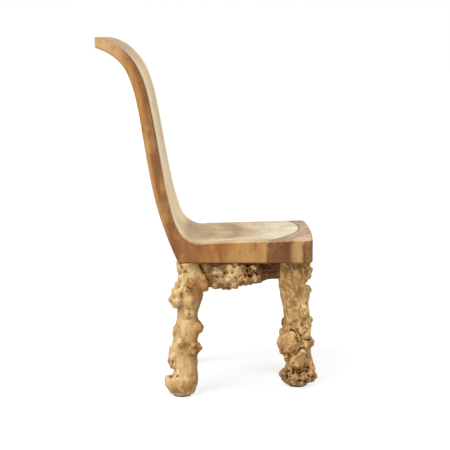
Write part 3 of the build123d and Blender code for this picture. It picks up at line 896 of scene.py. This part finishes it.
FRONT_RIGHT = dict(
    growths=[
        (289, 248, 13, -0.25, 0.8, 1.4), (301, 210, 12, 0.1), (234, 245, 13, -0.5),
        (239, 210, 14, -0.5), (263, 200, 14, -0.5), (291, 169, 14, -0.1), (296, 177, 10, 0.0),
        (284, 163, 8, 0.1), (305, 142, 10, 0.2), (299, 134, 8, 0.2), (309, 148, 7, 0.2),
        (228, 151, 21, -0.3), (250, 150, 25, -0.62, 1, 1.2), (238, 129, 18, -0.35),
        (254, 170, 13, -0.4), (235, 168, 16, -0.5), (281, 117, 11, 0.05), (262, 134, 13, -0.5),
        (221, 112, 10, 0.2), (236, 95, 10, 0.2), (247, 110, 5, 0.5), (228, 120, 7, 0.2),
        (260, 97, 15, -0.4), (281, 93, 17, -0.4), (270, 80, 16, -0.3), (254, 83, 12, -0.1),
        (290, 84, 12, -0.1), (271, 102, 10, 0.0), (226, 40, 15, 0.1), (236, 26, 11, 0.2),
        (246, 46, 8, 0.3), (262, 36, 13, 0.2), (284, 40, 15, 0.1), (303, 48, 14, 0.1),
        (296, 26, 12, 0.2), (316, 33, 10, 0.2), (240, 18, 8, 0.2), (276, 20, 9, 0.2), (218, 46, 7, 0.3),
        (312, 58, 8, 0.1),
    ],
    marks=[
        (2.4, 3, [(281, 263), (278, 253), (279, 241), (287, 231), (296, 233), (300, 244), (297, 257),
                  (289, 266), (281, 263)]),
        (2.6, 2, [(230, 213), (231, 207)]),
        (4.5, -2.6, [(272, 185), (280, 192), (290, 198), (299, 190), (303, 178)]),
        (4, -2.2, [(278, 178), (285, 184), (293, 185), (301, 177)]),
        (3, 3.5, [(278, 165), (285, 155), (296, 153), (304, 157)]),
        (3.4, 4, [(240, 179), (243, 184), (248, 186), (256, 182), (261, 175)]),
        (5.5, 4, [(262, 174), (266, 163), (267, 153)]), (3, 4, [(257, 167), (259, 161)]),
        (3, 4, [(262, 152), (270, 151)]), (3.2, 4.5, [(243, 96), (251, 101), (259, 109), (266, 114)]),
        (3, 4.5, [(266, 114), (270, 123), (276, 128), (284, 128), (291, 122), (297, 111)]),
        (3, 4, [(301, 146), (307, 143)]), (3.4, 4, [(232, 90), (240, 96)]),
        (3, 3, [(226, 106), (229, 102)]), (4.5, 6, [(250, 85), (254, 86)]),
        (4.5, 6, [(287, 82), (289, 77)]), (2.4, 2.5, [(289, 99), (293, 98)]),
        (3.2, 4, [(286, 66), (296, 65), (303, 62)]), (4, 5, [(250, 66), (262, 60), (276, 60)]),
        (3.4, 5, [(226, 56), (228, 50)]), (4, 5, [(220, 40), (222, 34)]),
        (4, 6, [(236, 44), (234, 30)]), (4, 6, [(242, 56), (243, 44)]),
        (4.4, 7, [(253, 62), (254, 46)]), (4, 5, [(262, 53), (272, 49), (280, 54)]),
        (3, 4, [(270, 44), (274, 43)]), (4, 5, [(293, 27), (290, 20)]), (4, 5, [(316, 38), (320, 34)]),
        (4, 5, [(266, 32), (272, 30)]), (3, 3, [(284, 52), (290, 50)]), (3, 3, [(298, 42), (304, 38)]),
        (3, 4, [(250, 30), (254, 24)]), (3.4, 4, [(237, 378), (242, 372)]),
        (3, 2, [(230, 392), (236, 382)]), (2.6, 3, [(257, 212)]), (4.5, 5, [(221, 118)]),
        (3, 4, [(285, 71)]), (2.4, 2.5, [(294, 93)]),
        *dots(4, 5, (300, 135), (308, 134)),
        *dots(3, 3, (214, 314), (217, 307)),
    ],
    stains=[
        *blots(0.7, (253, 271, 12), (246, 262, 9), (256, 212, 10), (252, 58, 12), (222, 42, 10),
               (250, 388, 22), (290, 368, 16)),
        *blots(0.6, (270, 250, 9), (236, 36, 14), (274, 48, 12), (292, 24, 12), (268, 26, 12),
               (252, 86, 8), (287, 80, 8), (226, 330, 12), (230, 290, 9), (262, 300, 14), (278, 345, 12),
               (280, 170, 6), (244, 108, 14), (238, 70, 14), (284, 330, 14)),
        *blots(1, (264, 162, 8), (304, 142, 14)),
        *blots(0.8, (298, 152, 7), (222, 114, 12), (270, 66, 16), (314, 38, 12), (274, 96, 20)),
        *blots(0.5, (276, 150, 12), (290, 218, 10), (244, 128, 10), (268, 330, 14), (296, 100, 12),
               (258, 118, 10), (292, 62, 14)),
        *blots(0.4, (262, 140, 12), (288, 290, 10), (232, 352, 9), (284, 310, 12)),
        *blots(0.9, (230, 213, 6), (275, 386, 22)),
    ],
)
grow("leg_front_right", "root_front_right", burl_brown, "burl_brown", -1, texture=brown_texture,
     scatter=(5, 16, 9, 22, 0.0, (0, 1, 0)), melts=0.0024, worn=0.007, **FRONT_RIGHT)

# %% [markdown]
# ## The two left legs
# They are roots of the same kinds, a pale one at the rear and a browner, fluted one at the front.
# No two roots grow alike, so they are not mirrored copies of the right legs: each has growths,
# cracks and stains of its own, set on its outer side. The same routine and the same woods make
# them, so that all four legs look like one maker's work.

# %% Left legs
grow("leg_rear_left", "root_rear_left", burl_pale, "burl_pale", 1, texture=pale_texture,
     growths=[
         (-96, 330, 14, 0.1), (-70, 300, 17, -0.1), (-100, 262, 14, 0.1), (-48, 232, 15, 0.0),
         (-98, 196, 13, 0.1), (-60, 150, 18, -0.1), (-104, 112, 16, 0.1), (-60, 88, 14, 0.0),
         (-118, 46, 13, 0.2), (-80, 30, 15, 0.0), (-60, 20, 12, 0.0),
     ],
     stubs=[(-66, 206, 8, 15, (0.2, 1.0, 0.3))],
     marks=[
         (4, 4, [(-80, 300), (-66, 304), (-58, 296)]), (3.5, 4, [(-62, 152)]),
     ],
     stains=[
         (-70, 302, 16, 0.7),
         *blots(0.6, (-60, 150, 14), (-90, 60, 12), (-60, 24, 12), (-50, 380, 18)),
     ],
     scatter=(7, 12, 10, 24, -0.1, (0.3, -1, 0)), melts=0.0042, worn=0.003)
grow("leg_front_left", "root_front_left", burl_brown, "burl_brown", 1, texture=brown_texture,
     growths=[
         (306, 250, 17, 0.35), (305, 229, 14, 0.2), (262, 200, 14, 0.0), (246, 150, 22, -0.2),
         (290, 168, 15, 0.0), (276, 118, 16, 0.0), (250, 92, 15, 0.0), (250, 38, 15, 0.1),
         (272, 40, 16, 0.1), (296, 38, 15, 0.1), (262, 20, 13, 0.1), (290, 20, 13, 0.1),
         (312, 44, 10, 0.1),
     ],
     marks=[
         (3.2, 4, [(240, 180), (256, 176), (268, 162)]), (3.2, 4, [(252, 104), (268, 110), (284, 104)]),
         (3.4, 5, [(250, 60), (270, 60), (292, 62)]),
         *dots(4.5, 6, (262, 84), (292, 88)),
     ],
     stains=[
         *blots(0.6, (262, 168, 14), (250, 30, 14), (296, 40, 12)),
         *blots(0.7, (270, 60, 16), (262, 385, 20)),
     ],
     scatter=(9, 16, 9, 22, 0.0, (0, -1, 0)), melts=0.0024, worn=0.007)

# %% [markdown]
# ## The aprons
# Each apron is a slab of burl: a crowd of buds like a cauliflower, bright on their tops, with
# black holes between them. Some lumps are painted pale as highlights, and a painted shadow of the
# seat darkens the aprons' tops. The right one dies away into a dark, streaky hollow towards the
# front leg: dark wood, with painted shade in the recess.

# %% Side aprons
LUMP = (0.078, 0.367)      # x and height of the one broad lump that stays smooth
LUMP_REACH = 0.040


def side_apron_texture(p, middle):
    calm = max(1.0 - math.hypot(p.x - LUMP[0], p.z - LUMP[1]) / LUMP_REACH, 0.0)
    rough = share_of(p.x - 0.030, 0.03) * share_of(0.155 - p.x, 0.03)
    streak = noise.noise(Vector((p.x * 22.0, p.y * 110.0, p.z * 110.0)))
    slant = noise.noise(Vector((p.x * 40.0 + p.z * 40.0, p.y * 60.0, (p.z - p.x * 0.6) * 120.0)))
    rear = share_of(0.045 - p.x, 0.03)
    plain = 0.0028 * streak + 0.0014 * slant + 0.5 * swells(p) + 0.25 * billows(p)
    move = billows(p) * rough * (1.0 - 0.6 * calm) + plain * (1 - rough * 0.8)
    streaky = 0.95 + 1.0 * (slant * rear + streak * (1 - rear))
    flow = streaky * (1 - rough) + (0.85 + noise.noise(p * 28.0)) * rough
    # The front end: dark streaky wood, with painted shade in its recess that grows darker towards the seat.
    front = share_of(p.x - 0.138, 0.02)
    front *= 0.50 + 0.9 * noise.noise(Vector((p.x * 14.0, p.y * 60.0, p.z * 90.0))) + 6.0 * (p.z - 0.366)
    # Painted shadow of the seat along the apron's top, reaching lower at its rear end.
    under = share_of(p.z - 0.384 + 0.014 * rear, 0.012) * (0.7 + 0.9 * noise.noise(p * 30.0))
    return move, rough, flow, max(front, under)


grow("apron_right", "burl_right", burl_apron, "burl_apron", -1, texture=side_apron_texture,
     growths=[
         (86, 371, 20, -0.4), (64, 380, 15, -0.3), (60, 352, 18, -0.4), (75, 334, 14, -0.1),
         (94, 345, 14, -0.3), (112, 347, 13, -0.2), (131, 349, 14, -0.1), (145, 350, 9, 0.0),
         (132, 380, 8, 0.3), (125, 385, 6, 0.3), (138, 384, 6, 0.2), (36, 365, 13, -0.4),
         (34, 345, 14, -0.3), (20, 330, 11, -0.2), (45, 325, 10, -0.1), (60, 322, 8, 0.0),
         (102, 385, 9, 0.0), (50, 338, 10, 0.0), (122, 370, 8, 0.0), (86, 322, 7, 0.0),
         (150, 346, 10, 0.0), (162, 350, 10, 0.0), (174, 354, 10, -0.1), (190, 356, 10, -0.2),
         (0, 378, 14, -0.6), (18, 366, 12, -0.5),
     ],
     marks=[
         (6, 8, [(112, 378), (115, 370)]), (6, 8, [(119, 362), (123, 356)]),
         (4, 5, [(106, 366), (108, 357)]), (5, 6, [(106, 390), (118, 386)]),
         (3.4, 3.5, [(47, 370), (44, 366)]), (4, 5, [(138, 366), (144, 360)]),
         (3, 2.5, [(28, 354), (20, 358)]), (3, 2.5, [(36, 341), (30, 336)]),
         (3, 3, [(84, 326), (88, 322)]), (2.6, 3, [(152, 380), (172, 376), (192, 379)]),
         (4, 4, [(124, 374), (120, 380)]), (2.4, 2, [(156, 364), (176, 366), (194, 364)]),
         (3, 3, [(4, 392), (16, 386), (26, 388)]), (4, 5, [(97, 342)]), (3, 3.5, [(41, 380)]),
         *dots(3.4, 4, (90, 339), (103, 344)),
         *dots(3, 3, (75, 388), (60, 357)),
     ],
     stains=[
         # The stains below zero, here and further down, are places worn pale on the lumps and also painted
         # highlights.
         (84, 369, 24, -1.3), (64, 378, 15, -1.1), (132, 381, 9, -1.6), (138, 352, 12, -0.9),
         (98, 352, 12, -0.7), (20, 364, 8, -0.3), (160, 362, 18, 1.2),
         *blots(1, (34, 383, 12), (48, 368, 8), (5, 390, 16), (25, 392, 18), (116, 368, 14),
                (150, 372, 20), (6, 356, 16)),
         *blots(0.9, (42, 376, 9), (122, 356, 12), (110, 388, 14), (138, 366, 9), (160, 350, 14)),
         *blots(0.6, (12, 352, 16), (22, 345, 14), (100, 322, 12)),
         *blots(0.8, (36, 334, 9), (4, 376, 14)),
         *blots(0.7, (98, 340, 12), (26, 358, 10)),
         *blots(0.5, (118, 344, 14), (64, 322, 10)),
         *blots(-0.8, (58, 348, 16), (70, 336, 14)),
         *blots(1.5, (172, 368, 30), (190, 364, 24)),
     ],
     scatter=(11, 12, 5, 9, 0.0, (0, 0, 0)), melts=0.0034, fine=0.78)
grow("apron_left", "burl_left", burl_apron, "burl_apron", 1, texture=side_apron_texture,
     growths=[
         (40, 370, 14, 0.1), (62, 346, 14, 0.1), (96, 376, 13, 0.1), (88, 350, 12, 0.1),
         (120, 360, 12, 0.1), (30, 345, 12, 0.0), (140, 366, 9, 0.1), (74, 330, 9, 0.1),
     ],
     marks=[
         (6, 8, [(80, 366)]),
         *dots(5, 6, (110, 380), (52, 352), (128, 372)),
     ],
     stains=[
         # The stains below zero are places worn pale and also painted highlights.
         (80, 366, 14, 0.8), (150, 366, 20, 0.9), (62, 372, 20, -1.1), (96, 350, 22, -0.9),
         (36, 350, 14, -0.7),
     ],
     scatter=(13, 22, 6, 10, -0.1, (0, 0, 0)), melts=0.0018)

# %% [markdown]
# The front and rear aprons hide behind the legs from the side, and show from the front and the
# back, so their buds are scattered all over them.

# %% Front and rear aprons
def cross_apron_texture(p, middle):
    rough = min(max(0.5 + 1.6 * noise.noise(p * 17.0), 0.25), 1.0)
    # Painted shadow of the seat along the apron's top.
    under = share_of(p.z - 0.384, 0.01) * (0.35 + 0.9 * noise.noise(p * 30.0))
    return billows(p) * rough, rough, 0.9 * noise.noise(p * 28.0), under


grow("apron_front", "burl_front", burl_apron, "burl_apron", -1, texture=cross_apron_texture,
     growths=[(298, 350, 9, 0.1), (300, 376, 8, 0.2)],
     scatter=(15, 80, 5, 11, 0.0, (0, 0, 0)), melts=0.0020)
grow("apron_rear", "burl_rear", burl_apron, "burl_apron", -1, texture=cross_apron_texture,
     scatter=(17, 80, 6, 12, 0.05, (0, 0, 0)), melts=0.0020)

# %% [markdown]
# ## Dowels and felt pads
# The dowels are plain turned pegs, hidden in the joints. The pads are pressed wool felt, a dull
# grey with a short fuzz, so a rough shader with a fine mottle is enough.

# %% Dowels and felt pads
def plain_finish(name, light, dark, roughness, scale, stretch):
    material, tree, shader, where = new_wood(name, roughness)
    tint = ramp(tree, grain(tree, where, scale, stretch, 3), [(0.3, dark), (0.7, light)])
    tree.links.new(tint, shader.inputs["Base Color"])
    return material


dowel_wood = plain_finish(
    "dowel_wood", colour(214, 182, 136), colour(186, 148, 102), 0.6, 300, (0.1, 0.1, 1))
felt = plain_finish("felt", colour(84, 78, 70), colour(52, 48, 44), 0.95, 900, (1, 1, 1))
for name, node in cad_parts.items():
    if name == "apron_dowels" or name.startswith("foot_pad"):
        node.data.materials.clear()
        node.data.materials.append(dowel_wood if name == "apron_dowels" else felt)
print("dowels and pads finished")

# %% [markdown]
# ## Floor, light and camera
# A plain white studio: the floor is matt, and adds a glow only where the camera sees it, so that
# it reads as white while it still takes the chair's soft shadow. Three broad lamps light the
# chair. The key shines from above and behind the chair's right side. A second, from above the
# front, lights the seat and the front of the back. A faint one, nearly level, comes straight from
# the right side and opens the shadows there. The room's even light fills the rest.

# %% Studio
def seen_directly(tree):
    """1 for a ray from the camera, a mirror or a glass, and 0 for one that only brings light."""
    rays = put(tree, "LightPath").outputs
    other = sums(tree, "MAXIMUM", rays["Is Glossy Ray"], rays["Is Transmission Ray"])
    return sums(tree, "MAXIMUM", rays["Is Camera Ray"], other)


def studio_floor():
    sheet = bmesh.new()
    bmesh.ops.create_grid(sheet, x_segments=1, y_segments=1, size=40.0)
    mesh = bpy.data.meshes.new("floor")
    sheet.to_mesh(mesh)
    sheet.free()
    floor = bpy.data.objects.new("floor", mesh)
    bpy.context.scene.collection.objects.link(floor)
    material = bpy.data.materials.new("studio_floor")
    material.use_nodes = True
    tree = material.node_tree
    tree.nodes.clear()
    seen = seen_directly(tree)
    matt = put(tree, "BsdfDiffuse", {"Color": (0.52, 0.50, 0.47, 1.0)}).outputs[0]
    faint = put(tree, "BsdfDiffuse", {"Color": (0.3, 0.3, 0.3, 1.0)}).outputs[0]
    glow = put(tree, "Emission", {"Color": (1.0, 1.0, 1.0, 1.0), "Strength": 0.76}).outputs[0]
    bright = put(tree, "AddShader", {0: faint, 1: glow}).outputs[0]
    mixed = put(tree, "MixShader", {0: seen, 1: matt, 2: bright}).outputs[0]
    put(tree, "OutputMaterial", {"Surface": mixed})
    mesh.materials.append(material)


def studio_room():
    world = bpy.data.worlds.new("studio")
    bpy.context.scene.world = world
    world.use_nodes = True
    tree = world.node_tree
    tree.nodes.clear()
    seen = seen_directly(tree)
    room = put(tree, "Background", {"Color": (1.0, 0.985, 0.96, 1.0), "Strength": 0.38}).outputs[0]
    white = put(tree, "Background", {"Color": (1.0, 1.0, 1.0, 1.0), "Strength": 1.0}).outputs[0]
    mixed = put(tree, "MixShader", {0: seen, 1: room, 2: white}).outputs[0]
    put(tree, "OutputWorld", {"Surface": mixed})


def lamp(name, strength, spread, towards):
    """A broad, even light that shines along a direction."""
    light = bpy.data.lights.new(name, "SUN")
    light.energy = strength
    light.angle = math.radians(spread)
    holder = bpy.data.objects.new(name, light)
    holder.rotation_mode = "QUATERNION"
    holder.rotation_quaternion = Vector(towards).to_track_quat("-Z", "Y")
    bpy.context.scene.collection.objects.link(holder)


studio_floor()
studio_room()
lamp("key", 2.45, 40, (0.75, 1.0, -1.25))
lamp("front", 0.40, 60, (0.1, 1.0, -0.3))
lamp("side", 1.05, 55, (-1.0, 0.1, -1.5))

lens = bpy.data.cameras.new("camera")
lens.sensor_width = 36.0
lens.lens = 118.117
camera = bpy.data.objects.new("camera", lens)
camera.location = (0.034, -4.47719, 1.066)
camera.rotation_euler = (math.radians(90 - 7.447), 0.0, math.radians(-0.192))
bpy.context.scene.collection.objects.link(camera)
bpy.context.scene.camera = camera
bpy.context.scene.view_settings.view_transform = "Standard"
print("camera at", tuple(round(v, 3) for v in camera.location))
